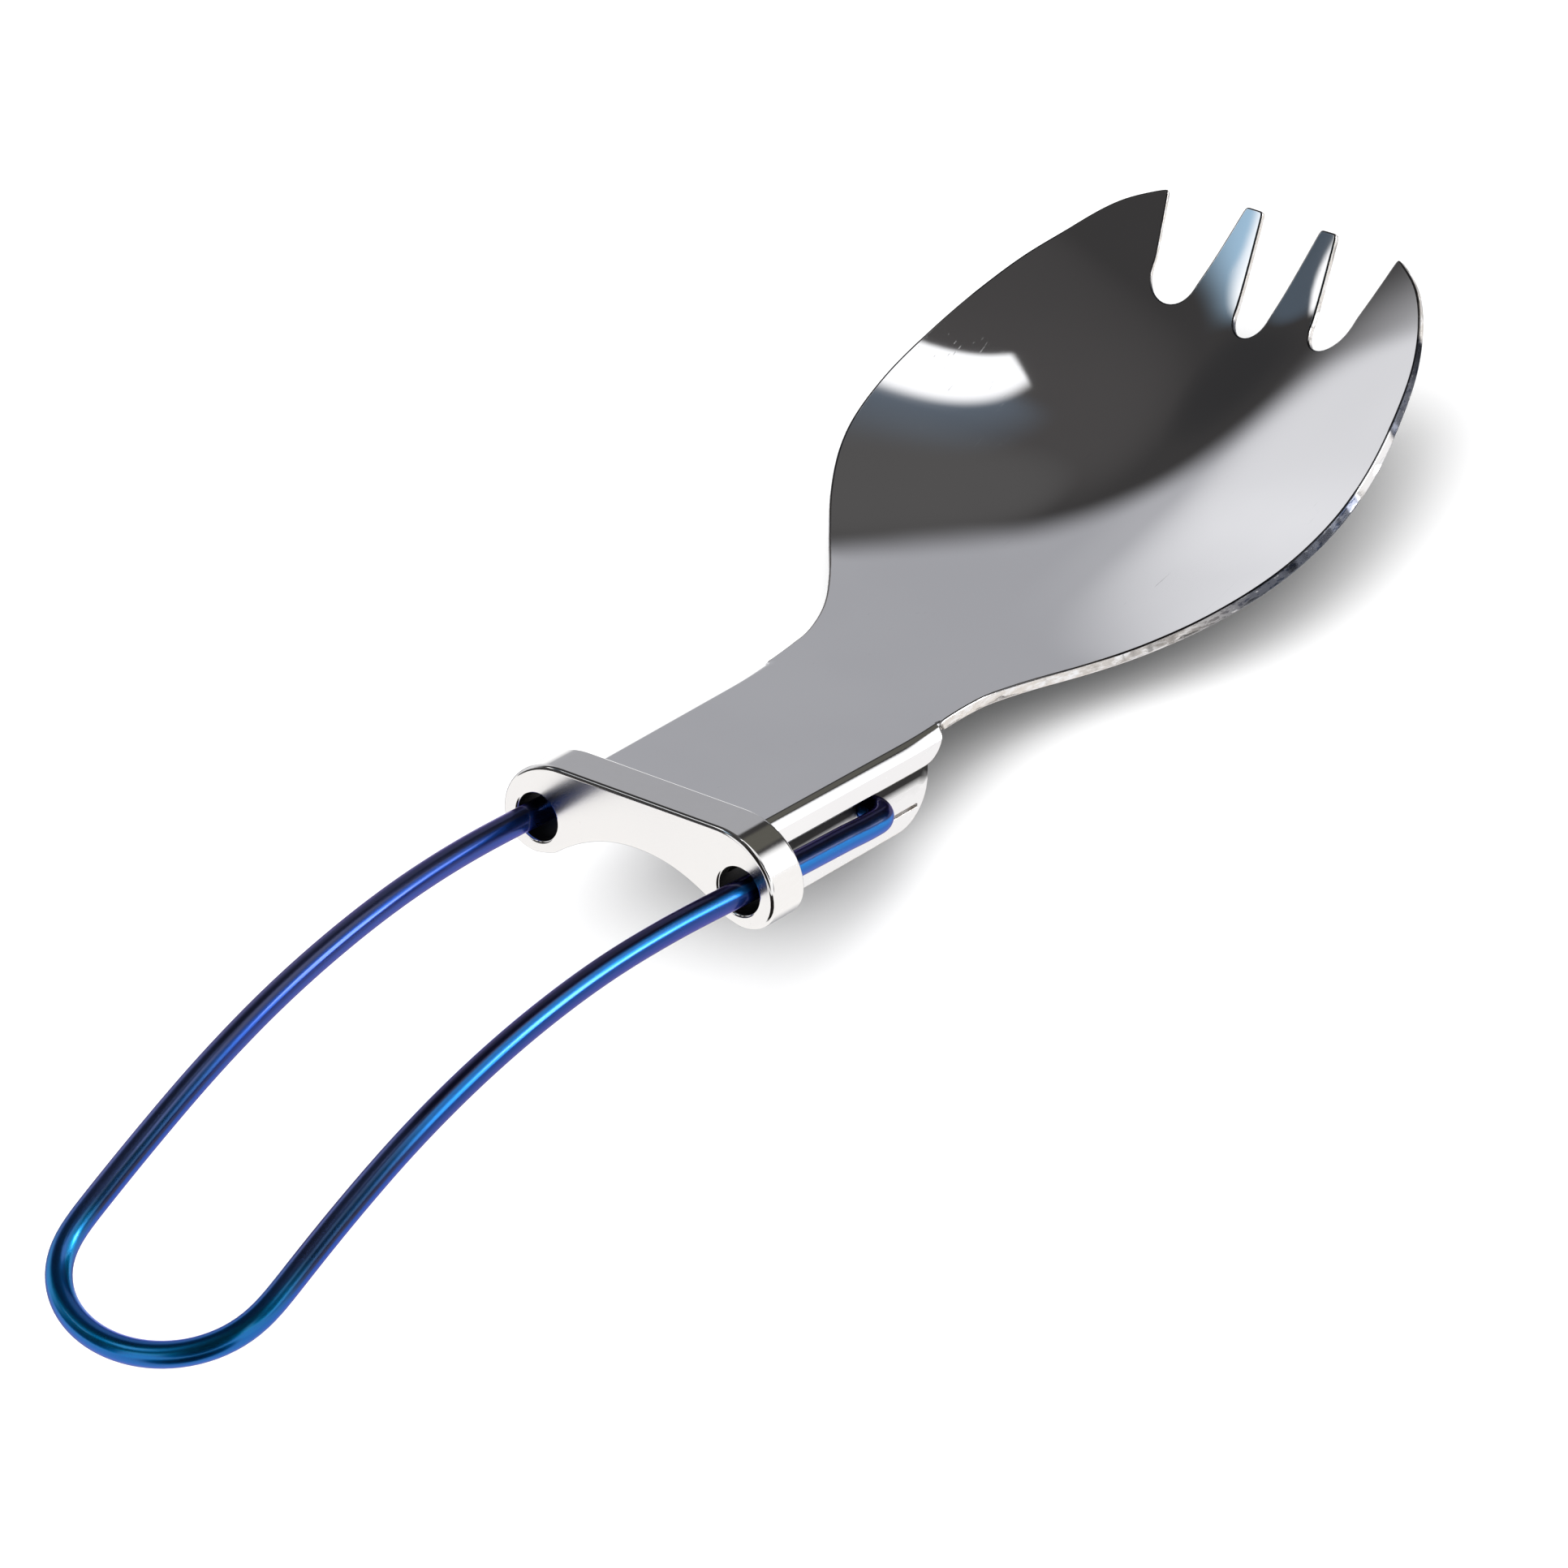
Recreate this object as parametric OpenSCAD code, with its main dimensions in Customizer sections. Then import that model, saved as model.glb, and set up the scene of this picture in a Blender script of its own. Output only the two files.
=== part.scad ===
// Folding camping spork: a stamped bowl with four tines, a bracket under its
// neck, a bent wire handle that folds under the bowl, and a locking collar
// that slides on the two wires.
// Drawn in the neck's frame: +X runs forward along the neck to the tines,
// +Y to the left, Z = 0 is the flat top face of the neck. The whole is then
// tipped nose-down so that the bowl and the bracket's ears rest on Z = 0.

/* [Head] */
// Thickness of the stamped sheet
sheet_t = 1; // [0.8:0.1:1.2]
// Half width of the neck's flat top at its rear end
neck_half = 8.3; // [8:0.1:8.6]
// Outer radius of the bend from the neck into its side lips
lip_bend = 1.3; // [1.2:0.1:1.5]
// Depth of the side lips below the neck's top
lip_drop = 2.75; // [2.5:0.05:3]
// Extra depth of the bowl at its middle
bowl_extra = 0; // [-0.5:0.1:0.5]

/* [Handle] */
// Diameter of the handle wire
wire_d = 2.2; // [2:0.1:2.4]
// Distance of the pivot axis ahead of the frame origin
pivot_x = 12.4; // [12:0.1:13]
// Depth of the pivot axis below the neck's top
pivot_drop = 4.1; // [3.9:0.1:4.3]
// Radial clearance of the pivot pins in their holes
pin_clear = 0.06; // [0.03:0.01:0.1]

/* [Collar] */
// Depth of the collar along the handle
collar_len = 4.2; // [3.8:0.1:4.4]
// Half width of the collar
collar_half = 14.4; // [14:0.1:14.8]
// Height of the collar above the neck's top
collar_rise = 1.6; // [1.5:0.1:2]
// Diameter of the two wire holes
collar_hole_d = 4.2; // [3.8:0.1:4.3]
// Distance of each wire hole from the middle
collar_hole_y = 10.7; // [10.6:0.1:10.9]

/* [Resting pose] */
// Nose-down tilt that lets the bowl and the bracket's ears touch the table
rest_tilt = 15.3; // [14.9:0.1:15.7]

/* [Hidden] */
$fn = 64;

neck_rear = -2.55;     // rear edge of the neck plate
neck_front = 21.6;     // where the lips end and the free rim begins
taper = 0.013;         // the neck widens by this much a side per mm
taper_deg = atan(taper);
pivot_z = -pivot_drop;
wire_r = wire_d / 2;
wire_y = 11.2;         // distance of each wire from the middle at the pivot
bend_r = 1.9;          // centreline radius of the bends into the pivot pins
ear_out = 8.55;        // outer face of the bracket's ears
ear_t = 0.9;           // thickness of the bracket's sheet
collar_gap = 0.15;     // free gap between the unlocked collar and the neck

// ---------- curves ----------
// Catmull-Rom value and interpolation through a list of points
function cr(a, b, c, d, t) = 0.5 * (2 * b + (c - a) * t
  + (2 * a - 5 * b + 4 * c - d) * t * t + (3 * b - a - 3 * c + d) * t * t * t);
function at(l, i) = l[max(0, min(len(l) - 1, i))];
function curve(l, n) = [for (i = [0:len(l) - 2]) for (k = [0:n - 1])
  cr(at(l, i - 1), at(l, i), at(l, i + 1), at(l, i + 2), k / n), l[len(l) - 1]];
// Value of a curve given as [x, y] points with rising x
function seg(l, x, i = 0) = i >= len(l) - 2 || x < l[i + 1][0] ? i : seg(l, x, i + 1);
function slope(l, i) = let(p = at(l, i - 1), q = at(l, i + 1)) (q[1] - p[1]) / (q[0] - p[0]);
function val(l, x) = let(i = seg(l, x), h = l[i + 1][0] - l[i][0], t = (x - l[i][0]) / h,
  m0 = slope(l, i) * h, m1 = slope(l, i + 1) * h, t2 = t * t, t3 = t2 * t)
  (2 * t3 - 3 * t2 + 1) * l[i][1] + (t3 - 2 * t2 + t) * m0
  + (3 * t2 - 2 * t3) * l[i + 1][1] + (t3 - t2) * m1;

// ---------- bowl ----------
// Plan outline of the free rim, from the neck to the middle of the front
rim = [[19, 9.25], [22, 9.3], [25, 9.45], [28, 9.9], [32, 11.5], [36, 14.1], [40, 17.3],
  [44, 20.3], [48, 22.5], [52, 23.7], [57, 24.1], [62, 23.6], [67, 22.45], [72, 20.75],
  [76, 18.65], [79, 16.3], [80.9, 13.7], [82, 11.1], [82.7, 7], [83, 3.2], [83.1, 0.5]];
// Height of the bowl's inner face along its middle line
keel = [[16, 0], [20, 0], [23, 0], [29, 0], [32, 0.02], [36, 0.08], [40, 0.28], [44, 0.66],
  [48, 1.24], [52, 2.01], [57, 3.31], [62, 5.08], [67, 7.49], [72, 10.59], [76, 13.68],
  [78, 15.55], [82, 20.7], [86, 25.9]];
// Rise of the inner face at 24 mm from the middle line
rise = [[16, 0], [18, 0], [20, 0.38], [23, 1.7], [26, 2.6], [29, 2.85], [32, 2.95], [36, 3.42],
  [40, 4.4], [44, 5.32], [48, 6.01], [52, 6.51], [57, 7.04], [62, 7.6], [67, 8.11], [72, 8.12],
  [76, 7.66], [78, 7.62], [82, 5.98], [86, 4.97]];
// Section of the bowl: rounded along the middle, nearly straight towards the rim
function dish(t) = (sqrt(t * t + 0.25) - 0.5) / (sqrt(1.25) - 0.5);
function top_z(x, y) = val(keel, x) - bowl_extra * pow(max(0, sin((x - 22) * 180 / 62)), 2)
  + val(rise, x) * dish(abs(y) / 24);
// The sheet is a little thinner towards the tips of the tines
function sheet(x) = sheet_t * (1 - 0.35 * min(1, max(0, (x - 62) / 18)));
function unit(v) = v / norm(v);
function top_n(x, y) = let(e = 0.05) unit([-(top_z(x + e, y) - top_z(x - e, y)) / (2 * e),
  -(top_z(x, y + e) - top_z(x, y - e)) / (2 * e), 1]);
stations = curve(rim, 2);
cols = 24;
function across(j) = let(v = 2 * j / cols - 1) v * (1.25 - 0.25 * v * v);
bowl_top = [for (s = stations) for (j = [0:cols])
  let(y = across(j) * s[1]) [s[0], y, top_z(s[0], y)]];
bowl_low = [for (p = bowl_top) p - sheet(p[0]) * top_n(p[0], p[1])];

module bowl_shell() {
  rows = len(stations);
  n = rows * (cols + 1);
  function id(i, j) = i * (cols + 1) + j;
  polyhedron(points = concat(bowl_top, bowl_low), faces = concat(
    [for (i = [0:rows - 2]) for (j = [0:cols - 1]) each [
      [id(i, j), id(i + 1, j + 1), id(i + 1, j)], [id(i, j), id(i, j + 1), id(i + 1, j + 1)],
      [n + id(i, j), n + id(i + 1, j), n + id(i + 1, j + 1)],
      [n + id(i, j), n + id(i + 1, j + 1), n + id(i, j + 1)]]],
    [for (i = [0:rows - 2]) each [
      [id(i, 0), n + id(i + 1, 0), n + id(i, 0)], [id(i, 0), id(i + 1, 0), n + id(i + 1, 0)],
      [id(i, cols), n + id(i + 1, cols), id(i + 1, cols)],
      [id(i, cols), n + id(i, cols), n + id(i + 1, cols)]]],
    [for (j = [0:cols - 1]) each [
      [id(0, j), n + id(0, j + 1), id(0, j + 1)], [id(0, j), n + id(0, j), n + id(0, j + 1)],
      [id(rows - 1, j), n + id(rows - 1, j + 1), n + id(rows - 1, j)],
      [id(rows - 1, j), id(rows - 1, j + 1), n + id(rows - 1, j + 1)]]]));
}

// A U-shaped gap between two tines: root circle and two straight sides
module tine_gap(cx, cy, r, x_end, y_low, y_high)
  translate([0, 0, 4]) linear_extrude(24) polygon(concat(
    [for (a = [90:15:270]) [cx + r * cos(a), cy + r * sin(a)]],
    [[x_end, y_low], [x_end, y_high]]));

// One side lip: quarter bend and a short wall, rounded at its front end
module side_lip() {
  rotate([0, 0, taper_deg]) intersection() {
    translate([neck_rear, neck_half, 0]) rotate([90, 0, 90])
      linear_extrude(neck_front - 0.3 - neck_rear) union() {
        difference() {
          translate([0, -lip_bend]) circle(r = lip_bend);
          translate([0, -lip_bend]) circle(r = lip_bend - sheet_t);
          translate([-3, -lip_bend * 2 - 1]) square([3, lip_bend * 2 + 2]);
          translate([-3, -lip_bend - 3]) square([6, 3]);
        }
        translate([lip_bend - sheet_t, -lip_drop]) square([sheet_t, lip_drop - lip_bend]);
        translate([-0.5, -sheet_t]) square([0.5, sheet_t]);
      }
    translate([0, 30, 0]) rotate([90, 0, 0]) linear_extrude(60) union() {
      translate([neck_rear - 1, -10]) square([neck_front - 2.5 - neck_rear + 1, 20]);
      translate([neck_rear - 1, -lip_drop + 2.2]) square([neck_front - 0.3 - neck_rear + 1, 20]);
      translate([neck_front - 2.5, -lip_drop + 2.2]) circle(r = 2.2);
    }
  }
}

module head_shape() {
  difference() {
    union() {
      bowl_shell();
      translate([0, 0, -sheet_t]) linear_extrude(sheet_t) polygon([
        [neck_rear, -neck_half - neck_rear * taper],
        [20, -neck_half - 20 * taper], [20, neck_half + 20 * taper],
        [neck_rear, neck_half + neck_rear * taper]]);
      side_lip();
      mirror([0, 1, 0]) side_lip();
    }
    tine_gap(77.7, 8.5, 2.2, 90.2, 2.9, 15.8);
    mirror([0, 1, 0]) tine_gap(77.7, 8.5, 2.2, 90.2, 2.9, 15.8);
    tine_gap(77.4, 0, 1.65, 87.9, -4.3, 4.3);
  }
}

// ---------- bracket ----------
module ear_profile() {
  difference() {
    union() {
      translate([1.2, -6.6]) square([15.7, 6.6 - sheet_t]);
      translate([3.2, -8.6]) square([13.7, 3]);
      translate([3.2, -6.6]) circle(r = 2);
      translate([16.9, -4.6]) square([4, 4.6 - sheet_t]);
      translate([16.9, -4.6]) circle(r = 4);
    }
    translate([pivot_x, pivot_z]) circle(r = wire_r + pin_clear);
    translate([14.8, -7]) square([4.6, 0.3]);
  }
}

module bracket_shape() {
  for (s = [0, 1]) mirror([0, s, 0])
    translate([0, ear_out, 0]) rotate([90, 0, 0]) linear_extrude(ear_t) ear_profile();
  translate([1.2, -ear_out + ear_t, -sheet_t - ear_t])
    cube([19.7, 2 * (ear_out - ear_t), ear_t]);
}

// ---------- handle ----------
// Height of the wire's centreline along the handle
sag = [[-76, -22.9], [-72, -20.8], [-64, -16.65], [-56, -12.7], [-48, -9.25], [-40, -6.6],
  [-32, -4.75], [-24, -3.62], [-16, -3.24], [-8, -3.42], [0, -3.74], [8, -3.98], [12.4, -4.1],
  [16, -4.15]];
// Distance of each wire from the middle line along the handle
spread = [[-64, 10.28], [-56, 10.3], [-48, 10.38], [-40, 10.5], [-32, 10.63], [-24, 10.8],
  [-16, 11], [-8, 11.15], [0, 11.2], [12.4, 11.2]];
loop_x = -64.3;        // where the rounded loop end begins
loop_len = 7.3;        // length of the loop's rounded end
loop_half = 10.28;
side_xs = [for (x = [10:-3.5:-60]) x];
branch = [for (x = side_xs) [x, val(spread, x), val(sag, x)]];
loop_pts = [for (a = [0:10:180]) let(x = loop_x - loop_len * sin(a))
  [x, loop_half * cos(a), val(sag, x)]];
route = concat([[pivot_x - bend_r + 0.2, wire_y, pivot_z]], branch, loop_pts,
  [for (i = [len(branch) - 1:-1:0]) [branch[i][0], -branch[i][1], branch[i][2]]],
  [[pivot_x - bend_r + 0.2, -wire_y, pivot_z]]);

module tube(pts, r, sides) {
  n = len(pts);
  function tan_at(i) = unit(pts[min(n - 1, i + 1)] - pts[max(0, i - 1)]);
  function ring(i) = let(t = i == 0 || i == n - 1 ? [i == 0 ? -1 : 1, 0, 0] : tan_at(i),
    u = unit(cross(t, [0.3, 0, 1])), w = cross(t, u))
    [for (k = [0:sides - 1]) pts[i] + r * (cos(k * 360 / sides) * u + sin(k * 360 / sides) * w)];
  polyhedron(points = [for (i = [0:n - 1]) each ring(i)], faces = concat(
    [[for (k = [0:sides - 1]) k]],
    [[for (k = [sides - 1:-1:0]) (n - 1) * sides + k]],
    [for (i = [0:n - 2]) for (k = [0:sides - 1]) let(a = i * sides + k, b = i * sides + (k + 1) % sides)
      each [[a, a + sides, b + sides], [a, b + sides, b]]]));
}

// A quarter bend and the pin that turns in the bracket's ear
module pivot_end() {
  translate([pivot_x - bend_r, wire_y - bend_r, pivot_z])
    rotate_extrude(angle = 90) translate([bend_r, 0]) circle(r = wire_r);
  translate([pivot_x, wire_y - bend_r + 0.001, pivot_z]) rotate([90, 0, 0])
    cylinder(r = wire_r, h = wire_y - bend_r - 6.9);
}

module handle_shape() {
  tube(route, wire_r, 16);
  pivot_end();
  mirror([0, 1, 0]) pivot_end();
}

// ---------- collar ----------
function super(a, b, n, t) = [a * pow(cos(t), 2 / n), b * pow(sin(t), 2 / n)];
collar_side = concat(
  // rounded upper corner, from the top to the side
  [for (t = [90:-9:0]) let(q = super(collar_half - 8.3, collar_rise + 3.8, 2, t)) [8.3 + q[0], q[1] - 3.8]],
  // leg
  [for (t = [-10:-10:-110]) [collar_half - 3.3 + 3.3 * cos(t), -3.8 + 3.15 * sin(t)]],
  // arch over the middle
  [for (y = [9.1:-0.7:0]) [y, -3.25 - 3.3 * pow(y / 9.1, 2.1)]]);
collar_outline = concat(collar_side,
  [for (i = [len(collar_side) - 1:-1:0]) [-collar_side[i][0], collar_side[i][1]]]);

module collar_shape() {
  x0 = neck_rear - collar_gap;
  difference() {
    translate([x0 - collar_len, 0, 0]) rotate([90, 0, 90])
      linear_extrude(collar_len) polygon(collar_outline);
    for (s = [-1, 1]) translate([x0 - collar_len - 1, s * collar_hole_y, -3.6])
      rotate([0, 90, 0]) cylinder(d = collar_hole_d, h = collar_len + 2);
    // pocket that swallows the rear end of the neck
    translate([x0 - 3.1, -10.2, -1.2]) cube([4, 20.4, 1.35]);
    for (s = [0, 1]) mirror([0, s, 0]) translate([x0 - 3.1, 8.2, -2.95]) cube([4, 2, 2]);
  }
}

// ---------- placing ----------
ct = cos(rest_tilt);
st = sin(rest_tilt);
end_x = loop_x - loop_len;
x_min = end_x * ct + val(sag, end_x) * st - wire_r;
x_max = max([for (p = bowl_low) p[0] * ct + p[2] * st]);
low_bowl = min([for (p = bowl_low) p[2] * ct - p[0] * st]);
low_wire = min([for (p = route) p[2] * ct - p[0] * st]) - wire_r;
low_ears = min([for (c = [[16.9, -4.6, 4], [3.2, -6.6, 2]]) c[1] * ct - c[0] * st - c[2]]);
module rest() translate([-(x_min + x_max) / 2, 0, -min(low_bowl, low_wire, low_ears)])
  rotate([0, rest_tilt, 0]) children();

module spork_head() { color("silver") rest() head_shape(); }
module pivot_bracket() { color("gainsboro") rest() bracket_shape(); }
module handle_wire() { color("royalblue") rest() handle_shape(); }
module locking_collar() { color("lightgray") rest() collar_shape(); }

spork_head();
pivot_bracket();
handle_wire();
locking_collar();
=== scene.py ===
import math

import bpy
import numpy as np
from mathutils import Matrix, Vector
from mathutils.geometry import delaunay_2d_cdt


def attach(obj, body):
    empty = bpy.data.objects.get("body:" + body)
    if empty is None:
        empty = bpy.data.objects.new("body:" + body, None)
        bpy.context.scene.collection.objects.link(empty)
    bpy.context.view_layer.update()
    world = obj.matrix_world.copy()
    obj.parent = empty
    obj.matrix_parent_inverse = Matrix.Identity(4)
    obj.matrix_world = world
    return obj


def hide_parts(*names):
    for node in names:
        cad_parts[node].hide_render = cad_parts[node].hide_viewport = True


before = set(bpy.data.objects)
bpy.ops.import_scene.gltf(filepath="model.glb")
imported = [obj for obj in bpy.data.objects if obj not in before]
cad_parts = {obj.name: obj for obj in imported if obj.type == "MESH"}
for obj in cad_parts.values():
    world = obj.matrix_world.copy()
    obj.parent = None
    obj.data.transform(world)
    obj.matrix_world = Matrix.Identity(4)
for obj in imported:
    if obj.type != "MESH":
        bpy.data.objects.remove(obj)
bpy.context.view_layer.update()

# ---------------------------------------------------------------- frame
# Everything is drawn in the neck's frame in millimetres (+X to the tines,
# +Y left, Z = 0 the neck's top) and tipped nose-down onto the table.
TILT = math.radians(15.3)
CT, ST = math.cos(TILT), math.sin(TILT)
SHIFT, LIFT = 5.39532, 12.8964


def place(p):
    p = np.asarray(p, float)
    return np.stack([p[:, 0] * CT + p[:, 2] * ST - SHIFT, p[:, 1],
                     -p[:, 0] * ST + p[:, 2] * CT + LIFT], 1) / 1000


def turn(d):
    d = np.asarray(d, float)
    return np.stack([d[:, 0] * CT + d[:, 2] * ST, d[:, 1],
                     -d[:, 0] * ST + d[:, 2] * CT], 1)


def unit(v):
    return v / np.maximum(np.linalg.norm(v, axis=-1, keepdims=True), 1e-12)


def smooth(t):
    t = np.clip(t, 0, 1)
    return t * t * (3 - 2 * t)


# ---------------------------------------------------------------- curves
def hermite(pts, xs):
    p = np.array(pts, float)
    x, y = p[:, 0], p[:, 1]
    n = len(x)
    lo, hi = np.maximum(np.arange(n) - 1, 0), np.minimum(np.arange(n) + 1, n - 1)
    m = (y[hi] - y[lo]) / (x[hi] - x[lo])
    i = np.clip(np.searchsorted(x, xs, side="right") - 1, 0, n - 2)
    h = x[i + 1] - x[i]
    t = (xs - x[i]) / h
    return ((2 * t**3 - 3 * t**2 + 1) * y[i] + (t**3 - 2 * t**2 + t) * m[i] * h
            + (3 * t**2 - 2 * t**3) * y[i + 1] + (t**3 - t**2) * m[i + 1] * h)


def catmull(pts, k):
    p = np.array(pts, float)
    q = np.vstack([p[:1], p, p[-1:]])
    out = []
    for i in range(len(p) - 1):
        a, b, c, d = q[i], q[i + 1], q[i + 2], q[i + 3]
        for t in np.arange(k) / k:
            out.append(.5 * (2 * b + (c - a) * t + (2 * a - 5 * b + 4 * c - d) * t * t
                             + (3 * b - a - 3 * c + d) * t**3))
    out.append(p[-1])
    return np.array(out)


def gauss(v, sigma, h, mode="edge"):
    m = int(4 * sigma / h) + 1
    k = np.arange(-m, m + 1) * h
    g = np.exp(-k * k / 2 / sigma**2)
    return np.convolve(np.pad(v, m, mode=mode), g / g.sum(), "valid")


def arc(cx, cy, r, a0, a1, n=24):
    a = np.radians(np.linspace(a0, a1, n))
    return [(cx + r * math.cos(t), cy + r * math.sin(t)) for t in a]


# ---------------------------------------------------------------- loops
def dense(loop, step):
    p = np.asarray(loop, float)
    q = np.vstack([p, p[:1]])
    d = np.r_[0, np.cumsum(np.hypot(*np.diff(q, axis=0).T))]
    n = max(12, int(round(d[-1] / step)))
    s = np.arange(n) * d[-1] / n
    return np.stack([np.interp(s, d, q[:, 0]), np.interp(s, d, q[:, 1])], 1), d[-1] / n


def wrap_gauss(v, sigma, h):
    return gauss(v, sigma, h, "wrap")


class Loop:
    """A closed outline with the material on its left, rounded off and thinned
    to few points where it is straight and many where it turns."""

    def __init__(self, pts, sigma=.25, fine=.09, coarse=.42, bend=.16, r=.2):
        p, h = dense(pts, .04 if sigma else .02)
        if sigma:
            p = np.stack([wrap_gauss(p[:, 0], sigma, h), wrap_gauss(p[:, 1], sigma, h)], 1)
        t = np.roll(p, -1, 0) - np.roll(p, 1, 0)
        a = np.arctan2(t[:, 1], t[:, 0])
        k = (np.angle(np.exp(1j * (np.roll(a, -1) - np.roll(a, 1))))) / (2 * h)
        k = wrap_gauss(k, .06, h)
        ds = np.clip(bend / np.maximum(np.abs(k), 1e-6), fine, coarse)
        ds = 1 / wrap_gauss(1 / ds, .12, h)
        c = np.cumsum(h / ds)
        n = int(round(c[-1]))
        i = np.clip(np.searchsorted(c, (np.arange(n) + .5) * c[-1] / n), 0, len(p) - 1)
        rr = np.minimum(r, .6 / np.maximum(k, 1e-6))
        rr = wrap_gauss(rr, .15, h)
        self.p, self.t = p[i], unit(t[i])
        self.r = np.minimum(rr, r)[i]
        self.s = (i * h)
        self.n = n


def inside(q, loops):
    c = np.zeros(len(q), bool)
    for p in loops:
        a, b = p, np.roll(p, -1, 0)
        for j in range(0, len(q), 4000):
            x, y = q[j:j + 4000, 0][:, None], q[j:j + 4000, 1][:, None]
            up = (a[None, :, 1] > y) != (b[None, :, 1] > y)
            dy = np.where(np.abs(b[:, 1] - a[:, 1]) < 1e-12, 1e-12, b[:, 1] - a[:, 1])
            xi = a[None, :, 0] + (y - a[None, :, 1]) * ((b[:, 0] - a[:, 0]) / dy)[None]
            c[j:j + 4000] ^= ((up & (x < xi)).sum(1) % 2).astype(bool)
    return c


def far(q, pts, d):
    ok = np.ones(len(q), bool)
    for j in range(0, len(q), 2000):
        s = q[j:j + 2000]
        dd = (s[:, None, 0] - pts[None, :, 0])**2 + (s[:, None, 1] - pts[None, :, 1])**2
        ok[j:j + 2000] = dd.min(1) > d * d
    return ok


def fill(loops, extra):
    """Triangles between the loops, with the extra points inside them."""
    pts = np.vstack(loops + ([extra] if len(extra) else []))
    edges, k = [], 0
    for p in loops:
        n = len(p)
        edges += [(k + i, k + (i + 1) % n) for i in range(n)]
        k += n
    v, _, f, ov, _, _ = delaunay_2d_cdt([Vector(p) for p in pts], edges, [], 0, 1e-7)
    if len(v) != len(pts):
        raise RuntimeError("outline crosses itself")
    back = np.array([o[0] for o in ov])
    tri = back[np.array(f)]
    mid = pts[tri].mean(1)
    tri = tri[inside(mid, loops)]
    a, b, c = pts[tri[:, 0]], pts[tri[:, 1]], pts[tri[:, 2]]
    area = (b[:, 0] - a[:, 0]) * (c[:, 1] - a[:, 1]) - (b[:, 1] - a[:, 1]) * (c[:, 0] - a[:, 0])
    tri[area < 0] = tri[area < 0][:, ::-1]
    return pts, tri[np.abs(area) > 1e-9]


def hexgrid(lo, hi, h):
    out = []
    y, k = lo[1], 0
    while y < hi[1]:
        out.append(np.stack([np.arange(lo[0] + (k % 2) * h / 2, hi[0], h),
                             np.full(len(np.arange(lo[0] + (k % 2) * h / 2, hi[0], h)), y)], 1))
        y += h * .866
        k += 1
    return np.vstack(out)


# ---------------------------------------------------------------- mesh
class Shell:
    """Points, faces and one normal for every corner of every face."""

    def __init__(self):
        self.v, self.f, self.n, self.count, self.mask = [], [], [], 0, []

    def add(self, pts, mask=0.):
        i = np.arange(len(pts)) + self.count
        self.v.append(np.asarray(pts, float))
        self.mask.append(np.full(len(pts), mask))
        self.count += len(pts)
        return i

    def faces(self, idx, nrm):
        self.f += [tuple(int(x) for x in r) for r in idx]
        self.n.append(np.asarray(nrm, float).reshape(-1, 3))

    def strip(self, a, b, na, nb, closed=True):
        """Quads from row a down to row b, seen from outside with b below a."""
        a2, b2 = np.roll(a, -1), np.roll(b, -1)
        m = np.stack([a, b, b2, a2], 1)
        n = np.stack([na, nb, np.roll(nb, -1, 0), np.roll(na, -1, 0)], 1)
        if not closed:
            m, n = m[:-1], n[:-1]
        self.faces(m, n)

    def build(self, name, body, slot, nodes, mat, painted_shade=None):
        v = np.vstack(self.v)
        mask = np.concatenate(self.mask)
        # painted shade: the given weight turns the mask towards -1, which steel() paints near black
        if painted_shade is not None:
            w = painted_shade(v)
            mask = mask * (1 - w) - w
        v = place(v)
        n = turn(np.vstack(self.n))
        me = bpy.data.meshes.new(name)
        me.from_pydata(v.tolist(), [], self.f)
        me.polygons.foreach_set("use_smooth", [True] * len(me.polygons))
        at = me.attributes.new("edge_and_painted_shade_mask", "FLOAT", "POINT")
        at.data.foreach_set("value", mask.astype(np.float32))
        me.normals_split_custom_set(unit(n).tolist())
        me.materials.append(mat)
        o = bpy.data.objects.new(name, me)
        bpy.context.scene.collection.objects.link(o)
        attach(o, body)
        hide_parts(*nodes)
        return o


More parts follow.
